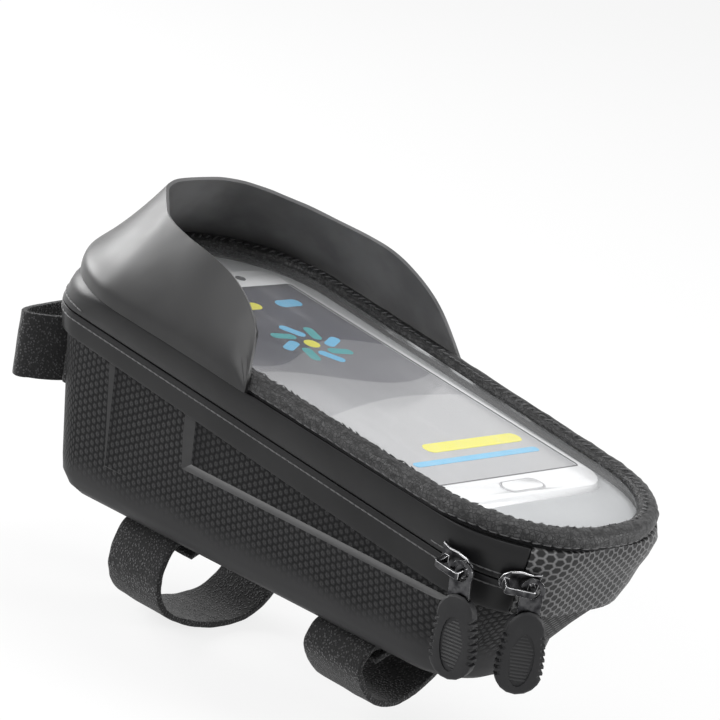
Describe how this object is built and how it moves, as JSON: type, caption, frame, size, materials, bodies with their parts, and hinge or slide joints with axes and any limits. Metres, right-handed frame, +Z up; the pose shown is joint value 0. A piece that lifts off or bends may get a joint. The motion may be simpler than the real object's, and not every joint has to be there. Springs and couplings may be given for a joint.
{
  "type": "bike phone bag",
  "caption": "Moulded zip-round bag that straps on a bicycle's top tube, with a clear phone window in its sloping lid, a sun visor round the head end and hook straps.",
  "frame": {"origin": "centre of the flat underside of the moulded tub, level with the tub's lowest surface", "axes": "+Z up out of the underside, +Y along the bag towards the end with the visor and the head strap, +X to the side so that the zip sliders are on the -X side"},
  "size_m": [0.0936, 0.2131, 0.1312],
  "materials": {
    "textured_shell": "fine honeycomb embossed coated foam, near black",
    "smooth_band": "smooth coated cloth, soft sheen",
    "textured_binding": "grained edge binding, matt",
    "visor_sheet": "smooth coated sheet with light cut edges",
    "clear_film": "clear flexible film",
    "grey_foam": "light grey lining",
    "hook_strap": "black hook and loop webbing",
    "zip_tape": "woven black tape",
    "zip_coil": "black nylon coil",
    "gunmetal": "gunmetal plated, worn bright at the edges",
    "black_rubber": "matt moulded rubber",
    "white_phone": "glossy white",
    "phone_screen": null
  },
  "bodies": {
    "bag": {"lower_shell": "textured_shell", "nose_panel": "textured_shell", "lower_band": "smooth_band", "zip_tape_lower": "zip_tape", "zip_coil_lower": "zip_coil", "head_strap": "hook_strap", "head_strap_patch": "hook_strap", "bottom_strap_front": "hook_strap", "bottom_strap_rear": "hook_strap", "strap_keeper_front": "hook_strap", "strap_keeper_rear": "hook_strap"},
    "lid": {"lid_binding": "textured_binding", "window_film": "clear_film", "sun_visor": "visor_sheet", "upper_band": "smooth_band", "zip_tape_upper": "zip_tape", "zip_coil_upper": "zip_coil", "phone_pad": "grey_foam", "phone_body": "white_phone", "phone_screen": "phone_screen", "phone_home_button": "white_phone"},
    "rear_slider": {"slider_rear": "gunmetal"},
    "rear_pull": {"pull_link_rear": "gunmetal", "pull_grip_rear": "black_rubber"},
    "front_slider": {"slider_front": "gunmetal"},
    "front_pull": {"pull_link_front": "gunmetal", "pull_grip_front": "black_rubber"}
  },
  "joints": [
    {"name": "lid_hinge", "type": "hinge", "parent": "bag", "child": "lid", "pos_m": [0, -0.098, 0.051], "axis": [1, 0, 0], "range_deg": [0, 90]},
    {"name": "rear_slider_slide", "type": "slide", "parent": "bag", "child": "rear_slider", "axis": [-0.0502, 0.9925, 0.1114], "range_m": [0, 0.144]},
    {"name": "front_slider_slide", "type": "slide", "parent": "bag", "child": "front_slider", "axis": [-0.7861, 0.6142, 0.069], "range_m": [0, 0.0025]},
    {"name": "rear_pull_swing", "type": "hinge", "parent": "rear_slider", "child": "rear_pull", "pos_m": [-0.03977, -0.07946, 0.04183], "axis": [0.9731, 0.2302, 0], "range_deg": [0, 50]},
    {"name": "front_pull_swing", "type": "hinge", "parent": "front_slider", "child": "front_pull", "pos_m": [-0.02634, -0.09321, 0.04069], "axis": [-0.6291, -0.7773, 0], "range_deg": [0, 80]}
  ]
}
